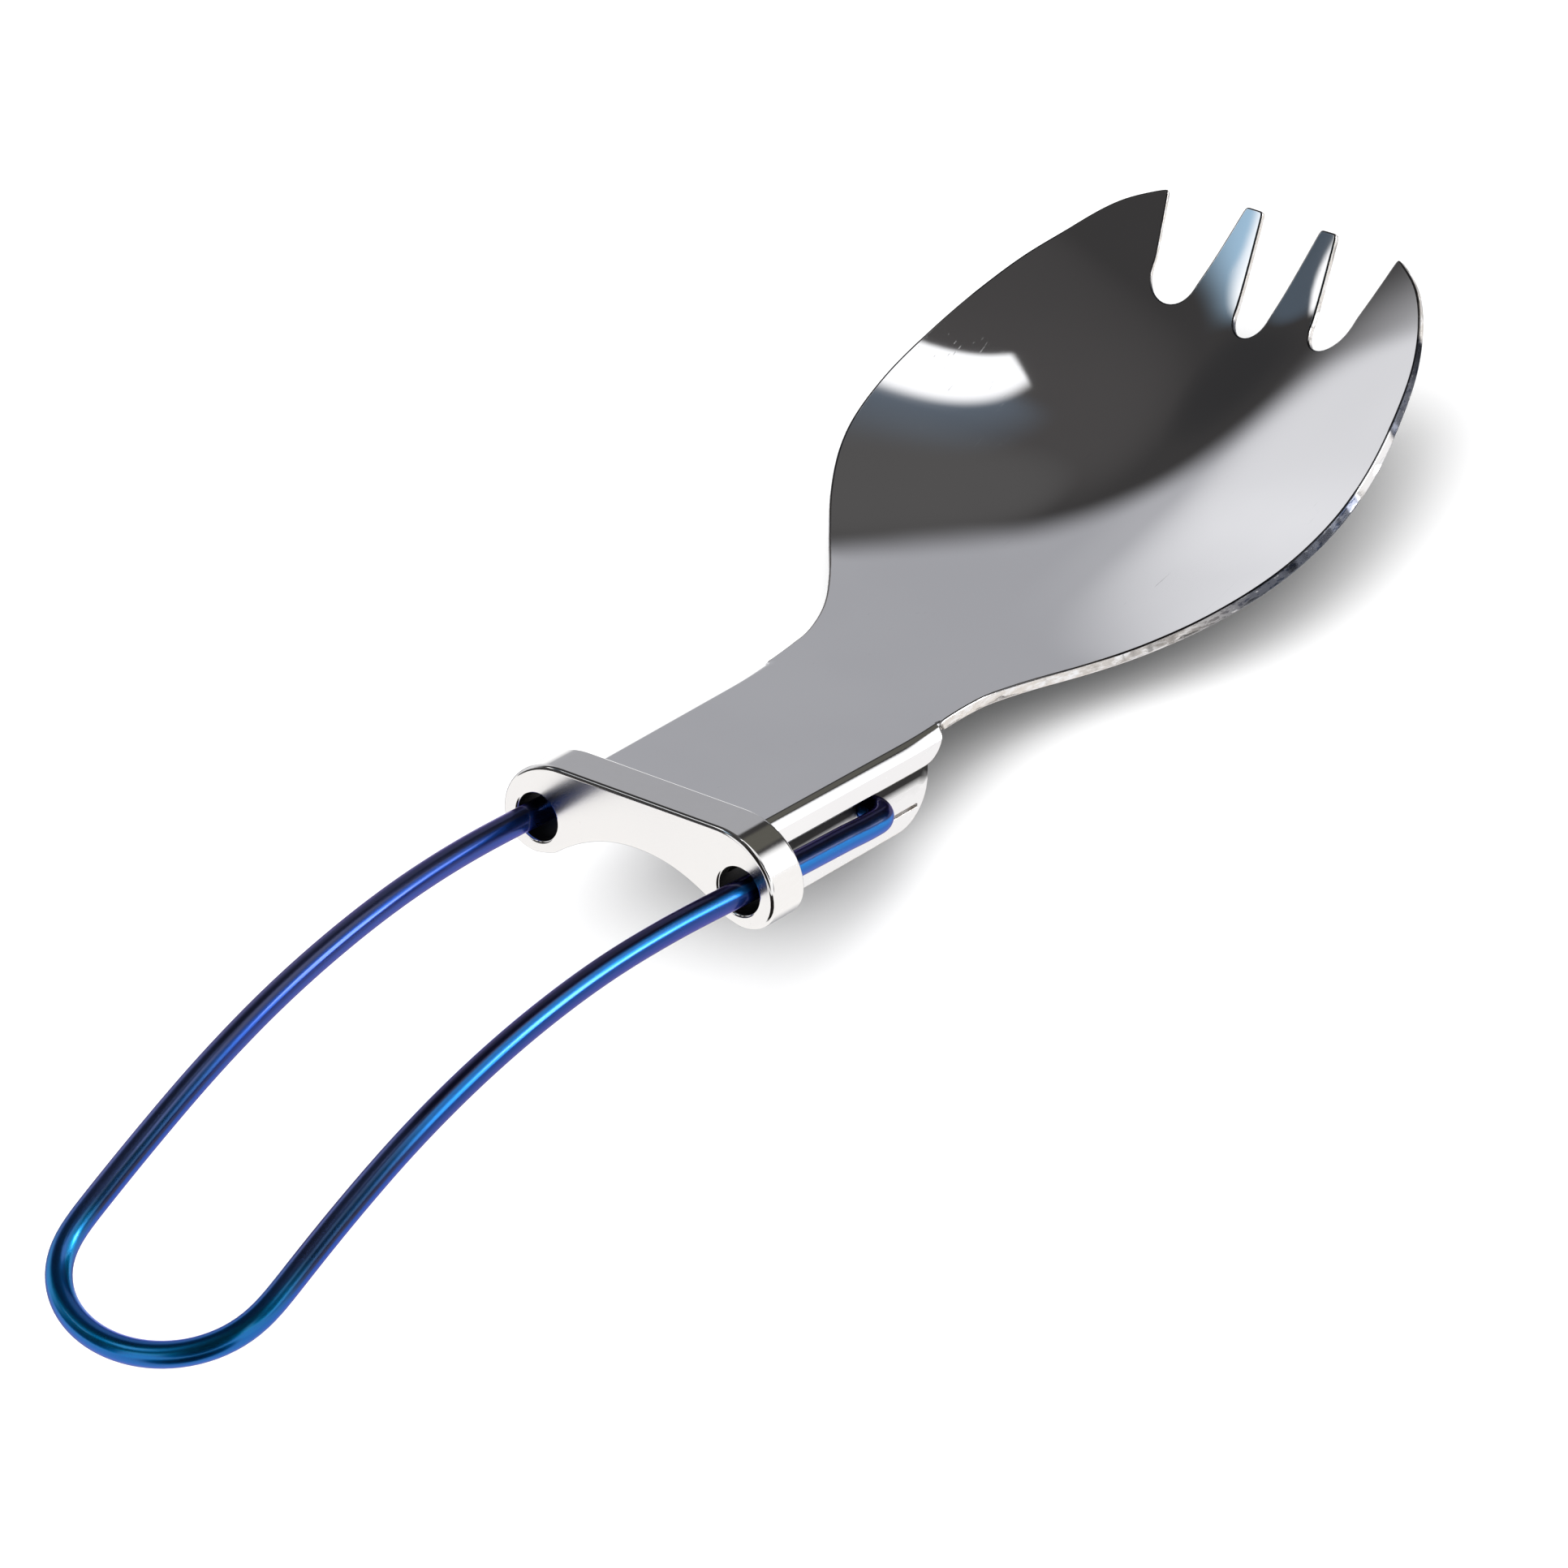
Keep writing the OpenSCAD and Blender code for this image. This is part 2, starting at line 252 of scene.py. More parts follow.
def sheet(S, loops, thick, h, extra=None, keep=None, steps=4, wave=None, shade=None):
    """A plate of curved sheet: S maps flat (u, v) to its outer face, loops are
    its outline and holes, thick its thickness, and every cut edge is rounded."""
    e = .02

    def frame_at(q):
        su = (S(q + [e, 0]) - S(q - [e, 0])) / (2 * e)
        sv = (S(q + [0, e]) - S(q - [0, e])) / (2 * e)
        return su, sv, unit(np.cross(su, sv))

    sh = Shell()
    rims = []
    for lp in loops:
        su, sv, n = frame_at(lp.p)
        t3 = unit(su * lp.t[:, :1] + sv * lp.t[:, 1:])
        b = unit(np.cross(t3, n))
        guu, gvv, guv = (su * su).sum(1), (sv * sv).sum(1), (su * sv).sum(1)
        bu, bv = (b * su).sum(1), (b * sv).sum(1)
        det = guu * gvv - guv**2
        off = np.stack([(gvv * bu - guv * bv) / det, (guu * bv - guv * bu) / det], 1)
        rims.append((lp, lp.p - off * lp.r[:, None], off))
    inner = [r[1] for r in rims]
    lo, hi = np.vstack(inner).min(0), np.vstack(inner).max(0)
    grid = hexgrid(lo, hi, h)
    if keep is not None:
        grid = grid[keep(grid)]
    near = []
    for lp, q, off in rims:
        for k, d in ((2, .22), (4, .55)):
            near.append((q - off * d)[::k])
    near = np.vstack(near)
    near = near[inside(near, inner)]
    near = near[far(near, np.vstack(inner), .16)]
    picked = [near] + ([extra] if extra is not None else []) + [grid]
    kept = np.zeros((0, 2))
    for g, d in zip(picked, [.14, .14, h * .55] if extra is not None else [.14, h * .55]):
        g = g[inside(g, inner)]
        if len(g):
            g = g[far(g, np.vstack(inner), .16)]
        if len(kept) and len(g):
            g = g[far(g, kept, d)]
        elif len(g) > 1 and d < .2:
            ok = np.ones(len(g), bool)
            for i in range(1, len(g)):
                w = g[max(0, i - 400):i][ok[max(0, i - 400):i]]
                if len(w) and ((w - g[i])**2).sum(1).min() < d * d:
                    ok[i] = False
            g = g[ok]
        kept = np.vstack([kept, g])
    pts, tri = fill(inner, kept)
    su, sv, n = frame_at(pts)
    p = S(pts)
    t = thick(pts)
    ns = n if shade is None else shade(pts, n)
    top = sh.add(p)
    low = sh.add(p - t[:, None] * n)
    sh.faces(tri, ns[tri])
    sh.faces(low[tri[:, ::-1]], -n[tri[:, ::-1]])
    k = 0
    for lp, q, off in rims:
        m = lp.n
        i = np.arange(k, k + m)
        k += m
        c, nn, tt = p[i], n[i], t[i][:, None]
        _, _, n0 = frame_at(lp.p)
        t3 = unit(np.roll(S(lp.p), -1, 0) - np.roll(S(lp.p), 1, 0))
        b = unit(np.cross(t3, nn))
        r = lp.r[:, None]
        lean = wave(lp.s)[:, None] if wave is not None else np.zeros((m, 1))
        rows = [(top[i], ns[i])]
        for j in range(1, steps + 1):
            a = math.pi / 2 * j / steps
            q3 = c - r * nn + r * (math.cos(a) * nn + math.sin(a) * b)
            nr = math.cos(a) * nn + math.sin(a) * b
            if j == steps:
                q3 = q3 - np.maximum(lean, 0) * b * (tt - 2 * r)
                nr = unit(b + lean * nn)
            # rows on the upper rounding carry mask 2, where steel() paints a dark line as a painted reflection
            rows.append((sh.add(q3, 2. if j < 3 else 1.), nr))
        for j in range(0, steps):
            a = math.pi / 2 * j / steps
            q3 = c - (tt - r) * nn + r * (math.cos(a) * b - math.sin(a) * nn)
            nr = math.cos(a) * b - math.sin(a) * nn
            if j == 0:
                q3 = q3 - np.maximum(-lean, 0) * b * (tt - 2 * r)
                nr = unit(b + lean * nn)
            rows.append((sh.add(q3, 1.), nr))
        rows.append((low[i], -nn))
        for (ra, na), (rb, nb) in zip(rows[:-1], rows[1:]):
            sh.strip(ra, rb, na, nb)
    return sh


# ---------------------------------------------------------------- head
NECK, TAPER, REAR = 8.3, .013, -2.55
KEEL = [(16, 0), (20, 0), (23, 0), (29, 0), (32, .02), (36, .08), (40, .28), (44, .66),
        (48, 1.24), (52, 2.01), (57, 3.31), (62, 5.08), (67, 7.49), (72, 10.59), (76, 13.68),
        (78, 15.55), (82, 20.7), (86, 25.9)]
RISE = [(16, 0), (18, 0), (20, .38), (23, 1.7), (26, 2.6), (29, 2.85), (32, 2.95), (36, 3.42),
        (40, 4.4), (44, 5.32), (48, 6.01), (52, 6.51), (57, 7.04), (62, 7.6), (67, 8.11),
        (72, 8.12), (76, 7.66), (78, 7.62), (82, 5.98), (86, 4.97)]
RIM = [(22, 9.3), (25, 9.45), (28, 9.9), (32, 11.5), (36, 14.1), (40, 17.3), (44, 20.3),
       (48, 22.5), (52, 23.7), (57, 24.1), (62, 23.6), (67, 22.45), (72, 20.75), (76, 18.65),
       (79, 16.3), (80.9, 13.7), (82, 11.1), (82.7, 7), (83, 3.2), (83.1, .5)]
GX = np.arange(-12, 96, .02)


def table_of(pts, sigma):
    v = hermite(pts, np.clip(GX, pts[0][0], pts[-1][0]))
    end = GX > pts[-1][0]
    v[end] = pts[-1][1] + (GX[end] - pts[-1][0]) * (pts[-1][1] - pts[-2][1]) / (pts[-1][0] - pts[-2][0])
    return gauss(v, sigma, .02)


KT, RT = table_of(KEEL, 1.8), table_of(RISE, 1.2)


def bowl_z(x, y):
    dish = (np.sqrt((y / 24)**2 + .25) - .5) / (math.sqrt(1.25) - .5)
    return np.interp(x, GX, KT) + np.interp(x, GX, RT) * dish


LIP_R, LIP_DROP = 1.3, 2.75
QUARTER = LIP_R * math.pi / 2
LIP_END = QUARTER + LIP_DROP - LIP_R


def head_face(q):
    u, v = q[:, 0], q[:, 1]
    a, sg = np.abs(v), np.sign(v)
    w = NECK + TAPER * u
    s = a - w
    phi = np.clip(s, 0, QUARTER) / LIP_R
    ly = np.where(s > 0, w + LIP_R * np.sin(phi), a)
    lz = bowl_z(u, np.minimum(a, w)) - LIP_R * (1 - np.cos(phi)) - np.maximum(0, s - QUARTER)
    b = smooth((u - 21.3) / .6)
    return np.stack([u, sg * (ly * (1 - b) + a * b), lz * (1 - b) + bowl_z(u, a) * b], 1)


def head_outline():
    rim = catmull(RIM, 16)
    side = [(c, s) for c, s in rim if c > 21.9]
    # middle gap, from its root forward
    half = arc(77.4, 0, 1.65, 180, 90)
    # straight sides of the gaps meet the rim

    def meet(p0, p1, up):
        p0, p1 = np.array(p0, float), np.array(p1, float)
        d = p1 - p0
        f = (rim[:, 0] - p0[0]) * d[1] - (rim[:, 1] - p0[1]) * d[0]
        for i in range(len(rim) - 1):
            if f[i] * f[i + 1] <= 0 and rim[i, 0] > 76:
                t = f[i] / (f[i] - f[i + 1])
                return i, rim[i] + t * (rim[i + 1] - rim[i])
        raise RuntimeError("gap misses the rim")

    i1, m1 = meet((77.4, 1.65), (87.9, 4.3), 1)
    i2, m2 = meet((77.7, 6.3), (90.2, 2.9), 1)
    i3, m3 = meet((77.7, 10.7), (90.2, 15.8), 1)
    right = half + [tuple(m1)] + [tuple(c) for c in rim[i2 + 1:i1 + 1][::-1]] + [tuple(m2)]
    right += arc(77.7, 8.5, 2.2, 270, 90) + [tuple(m3)]
    right += [tuple(c) for c in rim[:i3 + 1][::-1] if c[0] > 21.95]
    w = lambda u: NECK + TAPER * u
    # notch between the rim and the side lip, then the lip's rounded front
    right += [(21.72, 9.34), (21.45, 9.42), (21.3, 9.62)]
    low, cx, cr = LIP_END, 19.1, 2.2
    right += [(cx + cr * math.cos(t), w(cx) + low - cr + cr * math.sin(t))
              for t in np.radians(np.linspace(0, 90, 16))]
    right += [(REAR, w(REAR) + low)]
    # right runs from the front middle round to the rear: material on its left
    left = [(a, -b) for a, b in right[::-1]]
    loop = right + left
    a = np.array(loop)
    area = (a[:, 0] * np.roll(a[:, 1], -1) - np.roll(a[:, 0], -1) * a[:, 1]).sum()
    return loop if area > 0 else loop[::-1]


def head_thick(q):
    return 1 - .35 * np.clip((q[:, 0] - 62) / 18, 0, 1)


def edge_lean(s):
    """The shorn edge isn't quite square: it leans to and fro along the rim."""
    return (.16 * np.sin(s * .31 + .6) + .12 * np.sin(s * .83 + 2.1) + .07 * np.sin(s * 2.3)
            + .05 * np.sin(s * 5.1 + 1.3))


def lip_shade(q, n):
    """The lips never quite reach upright, so they catch light from above."""
    s = np.abs(q[:, 1]) - NECK - TAPER * q[:, 0]
    k = .36 * smooth((s - .5) / 1.4) * (1 - smooth((q[:, 0] - 21.3) / .6))
    return unit(n + k[:, None] * np.array([0, 0, 1.]))


bend_rows = np.vstack([np.stack([np.arange(REAR + .4 + .12 * (k % 2), 21.2, .5),
                                 sg * (NECK + TAPER * np.arange(REAR + .4 + .12 * (k % 2), 21.2, .5) + s)], 1)
                       for k, s in enumerate(np.arange(-.17, QUARTER + .3, .17)) for sg in (-1, 1)])


def off_bend(q):
    s = np.abs(q[:, 1]) - NECK - TAPER * q[:, 0]
    return (q[:, 0] > 21.3) | (s < -.3) | (s > QUARTER + .3)


# ---------------------------------------------------------------- bracket
EAR_R, WEB_HALF = 1.4, 7.15
EAR_Q = EAR_R * math.pi / 2


def bracket_face(q):
    u, v = q[:, 0], q[:, 1]
    a, sg = np.abs(v), np.sign(v)
    s = a - WEB_HALF
    phi = np.clip(s, 0, EAR_Q) / EAR_R
    y = np.where(s > 0, WEB_HALF + EAR_R * np.sin(phi), a)
    z = -1 - EAR_R * (1 - np.cos(phi)) - np.maximum(0, s - EAR_Q)
    return np.stack([u, sg * y, z], 1)


def ear_v(z):
    return WEB_HALF + EAR_Q + (-1 - EAR_R - z)


def bracket_loops():
    vm = ear_v(-8.6)
    side = [(20.9, 0), (20.9, ear_v(-4.6))]
    side += arc(16.9, ear_v(-4.6), 4, 0, 90, 20)
    side += arc(3.2, ear_v(-6.6), 2, 90, 180, 14)
    side += [(1.2, ear_v(-6.6)), (1.2, 0)]
    low = [(a, -b) for a, b in side[::-1]]
    loops = [Loop(side + low, sigma=.12, r=.16)]
    for sg in (1, -1):
        hole = arc(12.4, sg * ear_v(-4.1), 1.16, 360, 0, 49)[:-1]
        loops.append(Loop(hole, sigma=0, fine=.14, coarse=.16, r=.1))
        a, b, z = 14.95, 19.25, sg * ear_v(-6.85)
        slit = arc(a, z, .15, 270, 90, 12) + arc(b, z, .15, 90, -90, 12)
        loops.append(Loop(slit, sigma=0, fine=.05, coarse=.4, r=.08))
    return loops


# ---------------------------------------------------------------- handle
SAG = [(-76, -22.9), (-72, -20.8), (-64, -16.65), (-56, -12.7), (-48, -9.25), (-40, -6.6),
       (-32, -4.75), (-24, -3.62), (-16, -3.24), (-8, -3.42), (0, -3.74), (8, -3.98),
       (12.4, -4.1), (16, -4.15)]
SPREAD = [(-64, 10.28), (-56, 10.3), (-48, 10.38), (-40, 10.5), (-32, 10.63), (-24, 10.8),
          (-16, 11), (-8, 11.15), (0, 11.2), (12.4, 11.2)]
WIRE_R, PIVOT_X, PIVOT_Z, BEND, WIRE_Y = 1.1, 12.4, -4.1, 1.9, 11.2
LOOP_X, LOOP_LEN, LOOP_HALF = -64.3, 7.3, 10.28


def handle_shell():
    pin = [(PIVOT_X, y, PIVOT_Z) for y in np.arange(6.9, WIRE_Y - BEND, .1)]
    turn_in = [(PIVOT_X - BEND + BEND * math.cos(a), WIRE_Y - BEND + BEND * math.sin(a), PIVOT_Z)
               for a in np.linspace(0, math.pi / 2, 30)]
    xs = np.arange(PIVOT_X - BEND - .1, LOOP_X, -.1)
    z = hermite(SAG, xs)
    b = smooth((xs - 6) / 4.4)
    side = np.stack([xs, hermite(SPREAD, np.clip(xs, -64, 12.4)), z * (1 - b) + PIVOT_Z * b], 1)
    a = np.linspace(0, math.pi / 2, 120)
    lx = LOOP_X - LOOP_LEN * np.sin(a)
    loop = np.stack([lx, LOOP_HALF * np.cos(a), hermite(SAG, lx)], 1)
    half = np.vstack([pin, turn_in, side, loop])
    path = np.vstack([half, (half * [1, -1, 1])[::-1][1:]])
    d = np.r_[0, np.cumsum(np.linalg.norm(np.diff(path, axis=0), axis=1))]
    s = np.arange(0, d[-1], .05)
    p = np.stack([np.interp(s, d, path[:, i]) for i in range(3)], 1)
    g = np.stack([gauss(p[:, i], 1.6, .05) for i in range(3)], 1)
    w = smooth((7.5 - p[:, 0]) / 4)[:, None]
    p = p * (1 - w) + g * w
    t = unit(np.gradient(p, axis=0))
    k = np.linalg.norm(np.gradient(t, axis=0), axis=1) / .05
    k = gauss(k, .4, .05)
    ds = np.clip(.11 / np.maximum(k, 1e-6), .2, .7)
    c = np.r_[0, np.cumsum(.05 / ds)]
    n = int(c[-1])
    i = np.clip(np.searchsorted(c, np.linspace(0, c[-1], n)), 0, len(p) - 1)
    i[0], i[-1] = 0, len(p) - 1
    p, t = p[i], t[i]
    t[0], t[-1] = (0, 1, 0), (0, 1, 0)
    ref = np.array([.3, 0, 1.])
    u = unit(np.cross(t, ref))
    v = np.cross(t, u)
    sides = 48
    ang = np.arange(sides) * 2 * math.pi / sides
    ring = lambda j, r: p[j] + r * (np.cos(ang)[:, None] * u[j] + np.sin(ang)[:, None] * v[j])
    nrm = lambda j: np.cos(ang)[:, None] * u[j] + np.sin(ang)[:, None] * v[j]
    sh = Shell()
    ch = .18
    # chamfered pin end, then the rings, then the other chamfered end
    rows = []
    cap0 = sh.add(np.vstack([ring(0, WIRE_R - ch), p[:1]]))
    n0 = np.tile(-t[0], (sides, 1))
    e0 = cap0[:-1]
    rows.append((e0, unit(nrm(0) + n0)))
    rows.append((sh.add(ring(0, WIRE_R) + t[0] * ch), None))
    live = [j for j in range(1, len(p) - 1)
            if np.linalg.norm(p[j] - p[0]) > ch + .15 and np.linalg.norm(p[j] - p[-1]) > ch + .15]
    first = rows[-1][0]
    # cap: one fan
    cen = cap0[-1]
    nxt = np.roll(e0, -1)
    tri = np.stack([np.full(sides, cen), nxt, e0], 1)
    sh.faces(tri, np.tile(-t[0], (sides * 3, 1)))
    prev, pn = first, nrm(0)
    # the winding: rows run along the path, ring order is u to v
    sh.strip_rows = []

    def band(a, b, na, nb):
        a2, b2 = np.roll(a, -1), np.roll(b, -1)
        sh.faces(np.stack([a, a2, b2, b], 1),
                 np.stack([na, np.roll(na, -1, 0), np.roll(nb, -1, 0), nb], 1))

    band(e0, first, unit(nrm(0) - t[0]), unit(nrm(0) - t[0]))
    for j in live:
        cur = sh.add(ring(j, WIRE_R))
        # this facing value drives the wire's painted shade and painted reflection colours
        sh.mask[-1] = nrm(j) @ unit(np.array([0, 0, 1.]) - t[j][2] * t[j])   # 1 on top, -1 below
        band(prev, cur, pn, nrm(j))
        prev, pn = cur, nrm(j)
    last = sh.add(ring(len(p) - 1, WIRE_R) - t[-1] * ch)
    band(prev, last, pn, nrm(-1))
    end = sh.add(np.vstack([ring(len(p) - 1, WIRE_R - ch), p[-1:]]))
    e1 = end[:-1]
    band(last, e1, unit(nrm(-1) + t[-1]), unit(nrm(-1) + t[-1]))
    tri = np.stack([np.full(sides, end[-1]), e1, np.roll(e1, -1)], 1)
    sh.faces(tri, np.tile(t[-1], (sides * 3, 1)))
    return sh


# ---------------------------------------------------------------- collar
COL_X0, COL_LEN, HOLE_Y, HOLE_Z, HOLE_R = -6.9, 4.2, 10.7, -3.6, 2.1
FLOOR_D = 1.1          # depth of the pocket's floor below the rear face


def collar_shell():
    side = [(8.3 + 6.1 * math.cos(t), -3.8 + 5.4 * math.sin(t)) for t in np.radians(np.arange(90, -1, -3))]
    side += [(11.1 + 3.3 * math.cos(t), -3.8 + 3.15 * math.sin(t)) for t in np.radians(np.arange(-5, -111, -5))]
    side += [(y, -3.25 - 3.3 * (y / 9.1)**2.1) for y in np.arange(9.1, -.01, -.35)]
    side = side[:-1] + [(0, -3.25)]
    out = side + [(-a, b) for a, b in side[::-1]]
    out = out[::-1]
    outer = Loop(out, sigma=.18, fine=.1, coarse=.5, r=.42)
    sh = Shell()
    nx = np.array([[-1., 0, 0]])
    at = lambda q, d: np.stack([np.full(len(q), COL_X0) + d, -q[:, 0], q[:, 1]], 1)
    flat = lambda q: np.stack([np.zeros(len(q)), -q[:, 0], q[:, 1]], 1)
    b2 = np.stack([outer.t[:, 1], -outer.t[:, 0]], 1)
    r = outer.r
    q_in = outer.p - b2 * r[:, None]
    bo = flat(b2)
    steps = 6
    # circles: material outside, so they run clockwise
    cut = math.acos((10.2 - HOLE_Y) / HOLE_R)
    low = math.pi - math.asin((HOLE_Z + 2.95) / HOLE_R * -1)
    low = math.pi - math.asin((-2.95 - HOLE_Z) / HOLE_R)
    inner_a = np.linspace(cut, low, 10)
    outer_a = np.linspace(low, cut + 2 * math.pi, 52)
    ring_a = np.r_[inner_a[:-1], outer_a[:-1]][::-1]      # clockwise
    circles = []
    for sg in (1, -1):
        c = np.stack([HOLE_Y + HOLE_R * np.cos(ring_a), HOLE_Z + HOLE_R * np.sin(ring_a)], 1)
        d = np.stack([np.cos(ring_a), np.sin(ring_a)], 1)
        inn = (ring_a > cut - 1e-9) & (ring_a < low + 1e-9)
        if sg < 0:
            c, d, inn = (c * [-1, 1])[::-1], (d * [-1, 1])[::-1], inn[::-1]
        circles.append((c, d, inn))
    er = .28
    rear_loops = [q_in] + [c + d * er for c, d, _ in circles]
    pts, tri = fill(rear_loops, np.zeros((0, 2)))
    rear = sh.add(at(pts, 0))
    sh.faces(rear[tri], np.tile(nx, (tri.size, 1)))
    # outer skin
    m = outer.n
    rows = [(rear[:m], np.tile(nx, (m, 1)))]
    for j in range(1, steps + 1):
        a = math.pi / 2 * j / steps
        pos = at(q_in + b2 * (r * math.sin(a))[:, None], r * (1 - math.cos(a)))
        rows.append((sh.add(pos, 1.), math.cos(a) * nx + math.sin(a) * bo))
    for j in range(0, steps + 1):
        a = math.pi / 2 * j / steps
        rf = np.minimum(r, .42)
        qf = outer.p - b2 * rf[:, None]
        pos = at(qf + b2 * (rf * math.cos(a))[:, None], COL_LEN - rf * (1 - math.sin(a)))
        rows.append((sh.add(pos, 1.), -math.sin(a) * nx + math.cos(a) * bo))
    front_outer = rows[-1][0]
    for (ra, na), (rb, nb) in zip(rows[:-1], rows[1:]):
        sh.strip(ra, rb, na, nb)
    # round holes down to the pocket's floor
    k = m
    floor_rings = []
    for c, d, inn in circles:
        mm = len(c)
        idx = rear[k:k + mm]
        k += mm
        dn = flat(d)
        rows = [(idx, np.tile(nx, (mm, 1)))]
        for j in range(1, 6):
            a = math.pi / 2 * j / 5
            pos = at(c + d * er * (1 - math.sin(a)), er * (1 - math.cos(a)))
            rows.append((sh.add(pos, 1. if j < 4 else -1.), math.cos(a) * nx - math.sin(a) * dn))
        rows.append((sh.add(at(c, FLOOR_D), -1.), -dn))
        for (ra, na), (rb, nb) in zip(rows[:-1], rows[1:]):
            sh.strip(ra, rb, na, nb)
        floor_rings.append(rows[-1][0])
    # outline of the pocket and the holes together on the front face,
    # clockwise in (u, v): material outside
    (cr_, dr_, inr), (cl_, dl_, inl) = circles

    def outer_run(inn, mm):
        """Indices of the ring from the end of its inner run round to its start."""
        s = [i for i in range(mm) if inn[i]]
        start = next(i for i in range(mm) if inn[i] and not inn[(i + 1) % mm])
        run = [start]
        while True:
            j = (run[-1] + 1) % mm
            run.append(j)
            if inn[j]:
                break
        return run

    def inner_run(inn, mm):
        start = next(i for i in range(mm) if inn[i] and not inn[(i - 1) % mm])
        run = [start]
        while inn[(run[-1] + 1) % mm]:
            run.append((run[-1] + 1) % mm)
        return run

    ro, lo_ = outer_run(inr, len(cr_)), outer_run(inl, len(cl_))
    line = lambda a, b, n: [tuple(np.array(a) + (np.array(b) - a) * t) for t in np.linspace(0, 1, n)[1:-1]]
    # clockwise: along the top to +u, down the right side, round the right hole,
    # along the channel and the pocket's lower edge, and back round the left
    U, Un, Ui = [], [], []

    def put(p, nrm, ring=None, i=None):
        U.append(p)
        Un.append(nrm)
        Ui.append((ring, i))

    up, dn_, rt, lf = (0, 1), (0, -1), (1, 0), (-1, 0)
    # corner points carry the two wall normals as a pair
    top = .15
    put((-10.2, top), (lf, up))
    for p in line((-10.2, top), (10.2, top), 22):
        put(p, (up, up))
    put((10.2, top), (up, rt))
    a0 = cr_[ro[0]]
    b0 = cr_[ro[-1]]
    for p in line((10.2, top), a0, 4):
        put(p, (rt, rt))
    for n_, i in enumerate(ro):
        dd = tuple(dr_[i])
        put(tuple(cr_[i]), (rt if n_ == 0 else dd, dn_ if n_ == len(ro) - 1 else dd), 0, i)
    put((8.2, -2.95), (dn_, lf))
    for p in line((8.2, -2.95), (8.2, -1.2), 5):
        put(p, (lf, lf))
    put((8.2, -1.2), (lf, dn_))
    for p in line((8.2, -1.2), (-8.2, -1.2), 20):
        put(p, (dn_, dn_))
    put((-8.2, -1.2), (dn_, rt))
    for p in line((-8.2, -1.2), (-8.2, -2.95), 5):
        put(p, (rt, rt))
    put((-8.2, -2.95), (rt, dn_))
    for n_, i in enumerate(lo_):
        dd = tuple(dl_[i])
        put(tuple(cl_[i]), (dn_ if n_ == 0 else dd, lf if n_ == len(lo_) - 1 else dd), 1, i)
    for p in line(tuple(cl_[lo_[-1]]), (-10.2, top), 4):
        put(p, (lf, lf))
    U = np.array(U)
    n_in, n_out = np.array([a for a, _ in Un], float), np.array([b for _, b in Un], float)
    mit = n_in + n_out
    mit = mit / np.maximum((mit * n_out).sum(1, keepdims=True), .35)
    ch = .12
    # wall normals point into the opening
    floor_idx = np.empty(len(U), int)
    new = [j for j, (rg, _) in enumerate(Ui) if rg is None]
    floor_idx[new] = sh.add(at(U[new], FLOOR_D), -1.)
    for j, (rg, i) in enumerate(Ui):
        if rg is not None:
            floor_idx[j] = floor_rings[rg][i]
    edge_in = sh.add(at(U, COL_LEN - ch), -1.)
    edge_out = U + mit * ch
    fl = [q_in * 0 + (outer.p - b2 * np.minimum(r, .42)[:, None]), edge_out]
    pts2, tri2 = fill(fl, np.zeros((0, 2)))
    front_rest = sh.add(at(pts2[m:], COL_LEN))
    front_idx = np.r_[front_outer, front_rest]
    sh.faces(front_idx[tri2[:, ::-1]], np.tile(-nx, (tri2.size, 1)))
    e_out = front_rest[:len(U)]

    def wall(a, b, na, nb, lean=0.):
        """Quads along the clockwise outline from ring a (rearwards) to ring b (front)."""
        a2, b2_ = np.roll(a, -1), np.roll(b, -1)
        n1 = -flat(n_out) - lean * nx
        n2 = -flat(np.roll(n_in, -1, 0)) - lean * nx
        sh.faces(np.stack([a, b, b2_, a2], 1), np.stack([n1, n1, n2, n2], 1))

    wall(floor_idx, edge_in, None, None)
    wall(edge_in, e_out, None, None, 1.)
    # pocket floor: pocket outline with the inner runs of the two rings
    ir, il = inner_run(inr, len(cr_)), inner_run(inl, len(cl_))
    poly, pid = [], []
    for j, (rg, i) in enumerate(Ui):
        if rg is None:
            poly.append(U[j])
            pid.append(floor_idx[j])
        elif rg == 0 and i == ro[0]:
            for q in ir[::-1]:
                poly.append(cr_[q])
                pid.append(floor_rings[0][q])
        elif rg == 1 and i == lo_[0]:
            for q in il[::-1]:
                poly.append(cl_[q])
                pid.append(floor_rings[1][q])
    poly, pid = np.array(poly), np.array(pid)
    pts3, tri3 = fill([poly], np.zeros((0, 2)))
    sh.faces(pid[tri3[:, ::-1]], np.tile(-nx, (tri3.size, 1)))
    return sh


